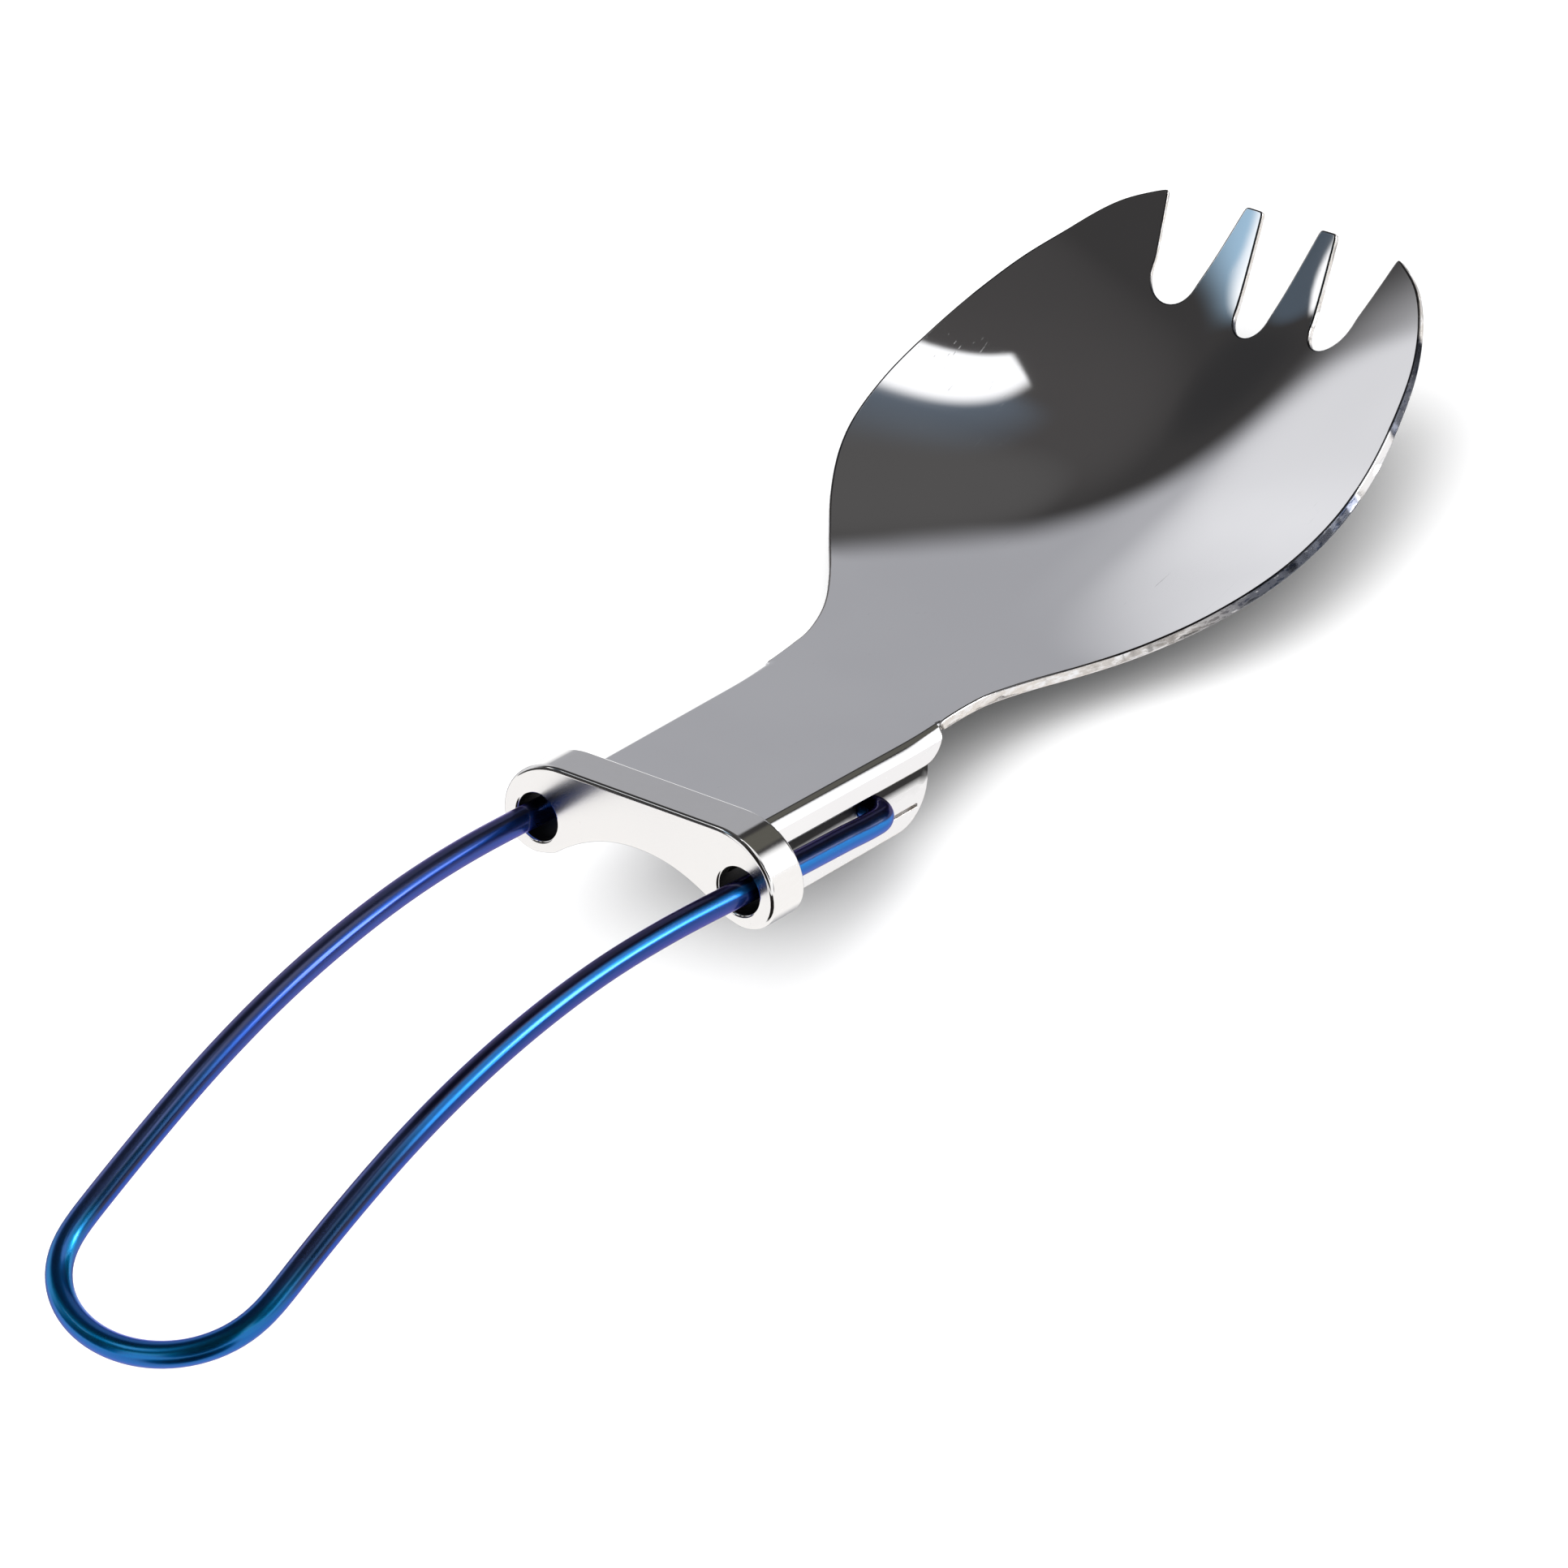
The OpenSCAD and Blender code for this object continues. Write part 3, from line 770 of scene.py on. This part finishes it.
# ---------------------------------------------------------------- materials
class Nodes:
    def __init__(self, tree):
        self.t = tree
        self.x = 0

    def new(self, kind, **kw):
        n = self.t.nodes.new(kind)
        n.location = (self.x, 0)
        self.x += 40
        for k, v in kw.items():
            setattr(n, k, v)
        return n

    def link(self, a, b):
        self.t.links.new(a, b)

    def put(self, sock, val):
        if isinstance(val, (int, float, tuple, list, Vector)):
            sock.default_value = val
        else:
            self.link(val, sock)

    def math(self, op, a, b=None, c=None, clamp=False):
        n = self.new("ShaderNodeMath", operation=op, use_clamp=clamp)
        for i, v in enumerate((a, b, c)):
            if v is not None:
                self.put(n.inputs[i], v)
        return n.outputs[0]

    def ramp(self, val, a, b, lo=0., hi=1.):
        """Smooth step from lo at a to hi at b."""
        n = self.new("ShaderNodeMapRange", interpolation_type="SMOOTHSTEP", clamp=True)
        self.put(n.inputs["Value"], val)
        for k, v in (("From Min", a), ("From Max", b), ("To Min", lo), ("To Max", hi)):
            self.put(n.inputs[k], v)
        return n.outputs["Result"]

    def dot(self, vec, d):
        n = self.new("ShaderNodeVectorMath", operation="DOT_PRODUCT")
        self.put(n.inputs[0], vec)
        n.inputs[1].default_value = d
        return n.outputs["Value"]

    def mix(self, fac, a, b):
        n = self.new("ShaderNodeMix", data_type="RGBA", clamp_factor=True)
        self.put(n.inputs[0], fac)
        self.put(n.inputs[6], a)
        self.put(n.inputs[7], b)
        return n.outputs[2]

    def noise(self, vec, scale, detail=2., rough=.5):
        n = self.new("ShaderNodeTexNoise")
        self.put(n.inputs["Vector"], vec)
        n.inputs["Scale"].default_value = scale
        n.inputs["Detail"].default_value = detail
        n.inputs["Roughness"].default_value = rough
        return n.outputs["Fac"]

    def mapped(self, vec, rot=(0, 0, 0), scale=(1, 1, 1)):
        n = self.new("ShaderNodeMapping")
        self.put(n.inputs["Vector"], vec)
        n.inputs["Rotation"].default_value = rot
        n.inputs["Scale"].default_value = scale
        return n.outputs["Vector"]


def new_material(name):
    m = bpy.data.materials.new(name)
    m.use_nodes = True
    m.node_tree.nodes.clear()
    n = Nodes(m.node_tree)
    out = n.new("ShaderNodeOutputMaterial")
    bsdf = n.new("ShaderNodeBsdfPrincipled")
    n.link(bsdf.outputs["BSDF"], out.inputs["Surface"])
    return m, n, bsdf


def scratches(n, obj, angle, tight, keep):
    """Fine straight scratches along one direction: 1 on a scratch, 0 off it."""
    v = n.mapped(obj, rot=(0, 0, angle), scale=(60, tight, tight * .6))
    f = n.noise(v, 1., 2., .6)
    return n.ramp(f, keep, keep + .05)


def steel(name, light, dark, rough, rubbed, edge_rough, shorn=1., keen=0., line=0.):
    m, n, b = new_material(name)
    obj = n.new("ShaderNodeTexCoord").outputs["Object"]
    b.inputs["Metallic"].default_value = 1.
    tone = n.noise(obj, 45., 3.)
    s1 = scratches(n, obj, .35, 5200., .70)
    s2 = scratches(n, obj, -.9, 4300., .72)
    s3 = scratches(n, obj, 1.45, 6100., .73)
    sc = n.math("MAXIMUM", n.math("MAXIMUM", s1, s2), s3)
    patch = n.ramp(n.noise(obj, 120., 2.), .42, .62)
    sc = n.math("MULTIPLY", sc, patch)
    mask = n.new("ShaderNodeAttribute", attribute_name="edge_and_painted_shade_mask").outputs["Fac"]
    at = n.math("MAXIMUM", mask, 0., clamp=True)
    # the mask's negative part marks painted shade
    painted_shade = n.math("MULTIPLY", n.math("MINIMUM", mask, 0.), -1., clamp=True)
    grain = n.noise(n.mapped(obj, scale=(900, 900, 2600)), 1., 3., .65)
    sep = n.new("ShaderNodeSeparateXYZ")
    n.link(obj, sep.inputs[0])
    x = n.math("ADD", sep.outputs["X"], n.math("MULTIPLY", n.math("SUBTRACT", tone, .5), .006))
    dark_run = n.math("MULTIPLY", n.ramp(x, .0305, .0425), n.ramp(x, .0575, .0555))
    dark_run = n.math("MAXIMUM", dark_run, n.math("MULTIPLY", n.ramp(x, .0621, .0630), n.ramp(x, .0735, .0725)))
    clean = n.math("MULTIPLY", n.ramp(x, .0560, .0575), n.ramp(x, .0630, .0621))
    rag = n.math("MAXIMUM", n.ramp(grain, .30, .62), n.math("MULTIPLY", dark_run, n.ramp(grain, .22, .40, .35, .92)))
    rag = n.math("MULTIPLY", rag, n.math("SUBTRACT", 1., clean))
    shear = n.math("MULTIPLY", n.math("MULTIPLY", at, rag), shorn)
    shorn_col = n.mix(dark_run, (.56, .50, .43, 1), (.035, .042, .065, 1))
    col = n.mix(n.ramp(tone, .35, .65), light, dark)
    col = n.mix(n.math("MULTIPLY", sc, .25), col, (.62, .62, .64, 1))
    col = n.mix(n.math("MULTIPLY", shear, n.math("ADD", .55, n.math("MULTIPLY", dark_run, .45))), col, shorn_col)
    # painted reflection: the upper rounding of the cut edges (mask 2) is painted near black, as much as line says
    col = n.mix(n.math("MULTIPLY", n.ramp(mask, 1.2, 1.8), line), col, (.03, .03, .032, 1))
    # painted shade: where the mask is below 0 the colour goes near black, with grain, and the roughness rises
    col = n.mix(painted_shade, col, n.mix(grain, (.012, .012, .013, 1), (.035, .033, .032, 1)))
    n.link(col, b.inputs["Base Color"])
    smudge = n.ramp(n.noise(obj, 75., 4.), .35, .75, 0., rubbed)
    rg = n.math("ADD", smudge, rough)
    rg = n.math("ADD", rg, n.math("MULTIPLY", sc, .10))
    rg = n.math("ADD", rg, n.math("MULTIPLY", shear, edge_rough))
    rg = n.math("ADD", rg, n.math("MULTIPLY", painted_shade, .35))
    rg = n.math("SUBTRACT", rg, n.math("MULTIPLY", at, keen))
    n.link(rg, b.inputs["Roughness"])
    bump = n.new("ShaderNodeBump")
    bump.inputs["Strength"].default_value = .12
    bump.inputs["Distance"].default_value = .00002
    hgt = n.math("SUBTRACT", n.math("MULTIPLY", shear, 1.), n.math("MULTIPLY", sc, .12))
    n.link(hgt, bump.inputs["Height"])
    n.link(bump.outputs["Normal"], b.inputs["Normal"])
    return m


def wire_paint(name):
    m, n, b = new_material(name)
    obj = n.new("ShaderNodeTexCoord").outputs["Object"]
    b.inputs["Metallic"].default_value = 1.
    b.inputs["Specular Tint"].default_value = (.55, .45, .95, 1)
    b.inputs["Coat Weight"].default_value = .42
    b.inputs["Coat Roughness"].default_value = .045
    b.inputs["Coat IOR"].default_value = 1.52
    sep = n.new("ShaderNodeSeparateXYZ")
    n.link(obj, sep.inputs[0])
    x = sep.outputs["X"]
    # the blue is the wire's own anodised colour, violet-blue at the collar drifting to clear blue; painted shade and
    # painted reflection split it by facing, near black on top, azure at the sides and violet-blue below, and the
    # stretches differ partly by painted reflection
    cloud = n.math("SUBTRACT", n.noise(obj, 60., 3.), .5)
    drift = n.math("ADD", x, n.math("MULTIPLY", cloud, .02))
    up = n.new("ShaderNodeAttribute", attribute_name="edge_and_painted_shade_mask").outputs["Fac"]
    up = n.math("ADD", up, n.math("MULTIPLY", cloud, .10))
    rear = n.ramp(drift, -.050, -.062)
    end = n.ramp(drift, -.068, -.076)
    left = n.math("MULTIPLY", n.ramp(n.math("ADD", sep.outputs["Y"], n.math("MULTIPLY", cloud, .004)), -.002, .005),
                  n.ramp(drift, -.075, -.050))

    front = n.ramp(x, -.0125, -.0085)

    def along(first, far, back, tip, fore):
        """One colour for each stretch: right wire, left wire, rear, round end, front; the stretches differ partly by
        painted reflection.
        """
        c = n.mix(rear, n.mix(left, first + (1,), far + (1,)), back + (1,))
        return n.mix(front, n.mix(end, c, tip + (1,)), fore + (1,))

    # colours by facing: top is painted shade, side a painted azure reflection, low and under painted violet-blue
    # reflections
    top = along((.016, .018, .058), (.046, .056, .135), (.085, .130, .330), (.001, .13, .44), (.016, .020, .060))
    side = along((.012, .165, .50), (.010, .048, .25), (.008, .045, .12), (.0005, .27, .62), (.005, .016, .055))
    low = along((.003, .040, .22), (.014, .032, .18), (.012, .016, .050), (.0005, .17, .50), (.004, .17, .52))
    under = along((.018, .050, .26), (.022, .060, .29), (.001, .065, .37), (.0005, .13, .44), (.006, .125, .44))
    # the facing value picks the painted shade and painted reflection colours
    col = n.mix(n.ramp(up, .50, .34), side, low)
    col = n.mix(n.ramp(up, .22, -.02), col, under)
    col = n.mix(n.ramp(n.math("ADD", up, n.math("MULTIPLY", left, .10)), .80, .93), col, top)
    fine = n.noise(n.mapped(obj, scale=(700, 2600, 2600)), 1., 3., .6)
    col = n.mix(n.ramp(fine, .3, .8, 0., .10), col, (.03, .08, .36, 1))
    n.link(col, b.inputs["Base Color"])
    sc = scratches(n, obj, .2, 4200., .72)
    rg = n.ramp(n.noise(obj, 140., 4.), .3, .7, .26, .32)
    rg = n.math("ADD", rg, n.math("MULTIPLY", sc, .12))
    n.link(rg, b.inputs["Roughness"])
    bump = n.new("ShaderNodeBump")
    bump.inputs["Strength"].default_value = .12
    bump.inputs["Distance"].default_value = .00001
    n.link(fine, bump.inputs["Height"])
    n.link(bump.outputs["Normal"], b.inputs["Normal"])
    return m


# line=.9 gives the head's cut edges their painted dark line, a painted reflection
mirror = steel("polished_steel", (.83, .83, .84, 1), (.80, .80, .812, 1), .028, .018, .22, line=.9)
bracket_mat = steel("bracket_steel", (.82, .82, .83, 1), (.79, .79, .80, 1), .16, .03, .15)
collar_mat = steel("collar_steel", (.83, .825, .82, 1), (.815, .81, .81, 1), .21, .01, .0, shorn=.06, keen=.15)
blue = wire_paint("blue_wire")

# ---------------------------------------------------------------- pieces
head = sheet(head_face, [Loop(head_outline(), sigma=.22, r=.2)], head_thick, .6,
             extra=bend_rows, keep=off_bend, wave=edge_lean, shade=lip_shade)
head.build("spork_head_skin", "head", "polished_steel", ["spork_head"], mirror)
br = sheet(bracket_face, bracket_loops(), lambda q: np.full(len(q), .9), .8,
           extra=np.vstack([np.stack([np.arange(1.6 + .1 * (k % 2), 20.6, .6),
                                      np.full(len(np.arange(1.6 + .1 * (k % 2), 20.6, .6)), sg * (WEB_HALF + s))], 1)
                            for k, s in enumerate(np.arange(0, EAR_Q + .1, .22)) for sg in (-1, 1)]),
           keep=lambda q: (np.abs(q[:, 1]) < WEB_HALF - .2) | (np.abs(q[:, 1]) > WEB_HALF + EAR_Q + .2))
# painted shade: the ears' upper part, above the wire and under the lips, is painted near black
channel = br.build("pivot_bracket_skin", "head", "bracket_steel", ["pivot_bracket"], bracket_mat,
                   painted_shade=lambda v: smooth((v[:, 2] + 5.1) / .7))
handle_shell().build("handle_wire_skin", "handle", "blue_wire", ["handle_wire"], blue)
block = collar_shell().build("locking_collar_skin", "collar", "collar_steel", ["locking_collar"], collar_mat)
# the floor under the collar and the ears is as light as the rest, so these two take no share of its soft light
for o in (channel, block):
    o.visible_diffuse = False

# ---------------------------------------------------------------- stage
floor_me = bpy.data.meshes.new("floor")
F = 6.
floor_me.from_pydata([(-F, -F, 0), (F, -F, 0), (F, F, 0), (-F, F, 0)], [], [(0, 1, 2, 3)])
floor = bpy.data.objects.new("floor", floor_me)
bpy.context.scene.collection.objects.link(floor)
fm, fn, fb = new_material("floor_white")
fb.inputs["Base Color"].default_value = (.86, .86, .862, 1)
fb.inputs["Roughness"].default_value = .9
fb.inputs["Specular IOR Level"].default_value = 0.
floor_me.materials.append(fm)
floor.visible_glossy = False

# ---------------------------------------------------------------- world
world = bpy.data.worlds.new("studio")
bpy.context.scene.world = world
world.use_nodes = True
world.cycles.sampling_method = "NONE"
world.node_tree.nodes.clear()
n = Nodes(world.node_tree)
d = n.new("ShaderNodeTexCoord").outputs["Generated"]
sep = n.new("ShaderNodeSeparateXYZ")
n.link(d, sep.inputs[0])
dz = sep.outputs["Z"]


def toward(az, el):
    a, e = math.radians(az), math.radians(el)
    return (math.cos(a) * math.cos(e), math.sin(a) * math.cos(e), math.sin(e))


def edge(p, q, side, soft, shift=0.):
    """1 on the side of the great circle through directions p and q where side is."""
    a, b = Vector(toward(*p)), Vector(toward(*q))
    m = a.cross(b).normalized()
    if m.dot(Vector(toward(*side))) < 0:
        m = -m
    return n.ramp(n.dot(d, tuple(m)), -soft + shift, soft + shift)


def ring3(p, q, r, side, soft, soft2=None, wide=None):
    """1 on one side of the small circle through three directions; the blur may
    grow from soft to soft2 towards the direction wide."""
    a, b, c = (Vector(toward(*v)) for v in (p, q, r))
    m = (b - a).cross(c - a).normalized()
    if m.dot(Vector(toward(*side)) - a) < 0:
        m = -m
    f = n.math("SUBTRACT", n.dot(d, tuple(m)), m.dot(a))
    if soft2 is None:
        return n.ramp(f, -soft, soft)
    w = n.ramp(n.dot(d, toward(*wide)), math.cos(math.radians(60)), 1., soft, soft2)
    return n.ramp(n.math("DIVIDE", f, w), -1., 1.)


def spot(az, el, inner, outer):
    """1 within the inner angle of a direction, fading to 0 at the outer one."""
    return n.ramp(n.dot(d, toward(az, el)), math.cos(math.radians(outer)), math.cos(math.radians(inner)))


# dark ceiling, a touch paler over the handle side of the bowl
col = n.mix(spot(16, 70, 3, 27), (.050, .0480, .0480, 1), (.078, .074, .0735, 1))
col = n.mix(spot(84, 52, 2, 16), col, (.038, .0375, .0385, 1))
col = n.mix(spot(12, 52, 3, 13), col, (.100, .097, .096, 1))
# grey wall beyond the bowl with a pale patch low on it
wall = ring3((20, 43.2), (42, 42.4), (68, 34.2), (45, 10), .035, .105, (72, 30))
left = ring3((12, 60), (12.5, 30), (13.5, 0), (45, 20), .03)
right = ring3((120, 50), (116, 30), (112, 0), (60, 20), .07)
wall = n.math("MULTIPLY", wall, n.math("MULTIPLY", left, right))
blob = n.math("MULTIPLY", spot(69, 8, 5, 27), .55)
glow = n.math("MULTIPLY", spot(60, 24, 6, 22), .07)
grey = (.435, .437, .462, 1)
col = n.mix(wall, col, n.mix(n.math("ADD", blob, glow), grey, (1.28, 1.28, 1.30, 1)))
slope = n.math("MULTIPLY", n.ramp(dz, .615, .29), spot(86, 18, 12, 30))
col = n.mix(slope, col, (.82, .82, .84, 1))
# pale band low all round the near side and the handle's side
low = n.math("MULTIPLY", ring3((-60, 44), (-134, 46), (150, 36), (-134, 0), .10),
             ring3((-28, 30), (-30, 10), (-32, -10), (-80, 0), .05))
low = n.math("MULTIPLY", low, ring3((124, 40), (124, 20), (120, -10), (160, 0), .08))
col = n.mix(low, col, (1.12, 1.115, 1.12, 1))
# big soft box on the near right with a sharp upper edge, bluish along its side
box = n.math("MULTIPLY", ring3((-3.4, 75.1), (-1.4, 66), (-21, 22), (-60, 40), .008),
             ring3((-110, 60), (-110, 40), (-110, 10), (-30, 30), .05))
box = n.math("MULTIPLY", box, n.math("MULTIPLY",
             ring3((-13.4, 72.9), (-15.6, 77.5), (-17.5, 80), (20, 70), .004),
             ring3((-3.3, 75.1), (-10, 76.6), (-15.6, 77.5), (-8, 60), .004)))
lowbox = n.math("MULTIPLY", n.math("MULTIPLY", ring3((-2, 66), (-5, 58), (-27, 22), (-60, 40), .02),
                                   ring3((-70, 62), (-84, 40), (-88, 10), (-30, 30), .10)), n.ramp(dz, .91, .88))
box = n.math("MAXIMUM", box, lowbox)
side = n.math("MULTIPLY", ring3((2, 76), (3.5, 62), (-15, 22), (-60, 40), .05),
              ring3((-2, 76.5), (10, 75), (40, 68), (10, 40), .06))
side = n.math("MULTIPLY", side, n.ramp(dz, .60, .80))
col = n.mix(n.math("MULTIPLY", n.math("MULTIPLY", side, spot(1, 64, 4, 10)), .20), col, (.34, .52, .74, 1))
col = n.mix(box, col, (1.30, 1.30, 1.31, 1))
col = n.mix(spot(-47, 40, 8, 19), col, (.80, .80, .81, 1))
col = n.mix(spot(-8, 33, 8, 13), col, (.120, .116, .100, 1))
col = n.mix(spot(-84, 33, 14, 22), col, (.07, .07, .075, 1))
col = n.mix(spot(-152, 34, 24, 34), col, (.016, .014, .013, 1))
col = n.mix(n.math("MULTIPLY", spot(-42, 9, 2, 8), .5), col, (10., 10., 10.2, 1))
col = n.mix(n.math("MAXIMUM", spot(-51, 8, 2, 8), spot(-53, 19, 2, 8)), col, (13., 13., 13.2, 1))
# pale blue panel behind the tines with a white lamp on its near edge
panel = n.math("MULTIPLY", ring3((112, 80), (114, 60), (117, 40), (150, 50), .08), n.ramp(dz, .945, .80))
panel = n.math("MULTIPLY", panel, ring3((148, 70), (146, 55), (144, 35), (120, 50), .05))
panel = n.math("MULTIPLY", panel, n.ramp(dz, .70, .78))
col = n.mix(panel, col, (.42, .63, .82, 1))
lamp = n.math("MULTIPLY", ring3((118, 59.5), (131, 57), (136, 52), (128, 50), .012),
              ring3((136.2, 51), (135.8, 55), (136, 58), (128, 50), .008))
lamp = n.math("MULTIPLY", lamp, n.math("MULTIPLY", n.ramp(dz, .72, .75), spot(129, 54, 8, 12)))
col = n.mix(lamp, col, (1.4, 1.4, 1.4, 1))
slate = spot(112, 43.5, 3, 9)
col = n.mix(slate, col, (.090, .115, .145, 1))
bar = n.math("MULTIPLY", ring3((100, 40.2), (106, 41), (115.5, 41.7), (106, 35), .008),
             n.math("MULTIPLY", ring3((102.5, 40), (103.5, 36), (104, 30), (110, 38), .02), n.ramp(dz, .56, .62)))
col = n.mix(n.math("MULTIPLY", bar, spot(110, 39, 6, 9)), col, (1.3, 1.3, 1.3, 1))
# below the table's level: white around, grey beyond the far side
down = n.mix(spot(46, -24, 22, 58), (1.12, 1.10, 1.085, 1), (.46, .46, .48, 1))
down = n.mix(spot(36, -18, 12, 22), down, (1.25, 1.25, 1.25, 1))
down = n.mix(spot(-155, -14, 30, 40), down, (.016, .014, .013, 1))
down = n.mix(n.math("MULTIPLY", n.ramp(dz, -.16, -.11), spot(-68, -4, 9, 20)), down, (.22, .22, .24, 1))
col = n.mix(n.ramp(dz, .02, -.04), col, down)
lp = n.new("ShaderNodeLightPath")
back = n.new("ShaderNodeBackground")
# what lights the floor: an even dome above, little from under the object
plain = n.mix(n.ramp(dz, 0., .9), (.75, .75, .75, 1), (1.70, 1.70, 1.70, 1))
plain = n.mix(n.ramp(dz, -.03, .03), (.03, .03, .03, 1), plain)
col = n.mix(n.math("GREATER_THAN", lp.outputs["Diffuse Depth"], .5), col, plain)
n.link(n.mix(lp.outputs["Is Camera Ray"], col, (1.1, 1.1, 1.1, 1)), back.inputs["Color"])
back.inputs["Strength"].default_value = 1.
out = n.new("ShaderNodeOutputWorld")
n.link(back.outputs[0], out.inputs["Surface"])

# ---------------------------------------------------------------- lights


def area(name, pos, target, size, power, shows=False):
    l = bpy.data.lights.new(name, "AREA")
    l.shape = "DISK"
    l.size = size
    l.energy = power
    o = bpy.data.objects.new(name, l)
    p, t = Vector(pos), Vector(target)
    o.location = p
    o.rotation_mode = "QUATERNION"
    o.rotation_quaternion = (t - p).to_track_quat("-Z", "Y")
    bpy.context.scene.collection.objects.link(o)
    o.visible_glossy = shows
    o.visible_camera = False
    return o


area("key", (-.30, .55, 1.6), (0, 0, 0), 2.3, 8.)

# ---------------------------------------------------------------- camera
AZ, EL, ROLL, FPX, DIST = math.radians(-51), math.radians(26.8), math.radians(-.34), 12000., 800.
back_v = np.array([math.sin(AZ) * math.cos(EL), -math.cos(AZ) * math.cos(EL), math.sin(EL)])
fwd = -back_v
right = unit(np.cross(fwd, [0, 0, 1]))
up = np.cross(right, fwd)
r2 = math.cos(ROLL) * right + math.sin(ROLL) * up
u2 = -math.sin(ROLL) * right + math.cos(ROLL) * up
R = np.stack([r2, -u2, fwd])
T = np.array([(849.8 - 966) * DIST / FPX, (967.35 - 966) * DIST / FPX, DIST])
eye = place((-R.T @ T)[None])[0]
ax = turn(np.stack([r2, u2, -fwd]))
cam = bpy.data.cameras.new("camera")
cam.sensor_fit = "HORIZONTAL"
cam.sensor_width = 36.
cam.lens = FPX / 1932 * 36
cam.clip_start, cam.clip_end = .01, 50.
co = bpy.data.objects.new("camera", cam)
bpy.context.scene.collection.objects.link(co)
co.matrix_world = Matrix([[ax[0][i], ax[1][i], ax[2][i], eye[i]] for i in range(3)] + [[0, 0, 0, 1]])
bpy.context.scene.camera = co
bpy.context.scene.view_settings.view_transform = "Standard"
bpy.context.scene.view_settings.look = "None"
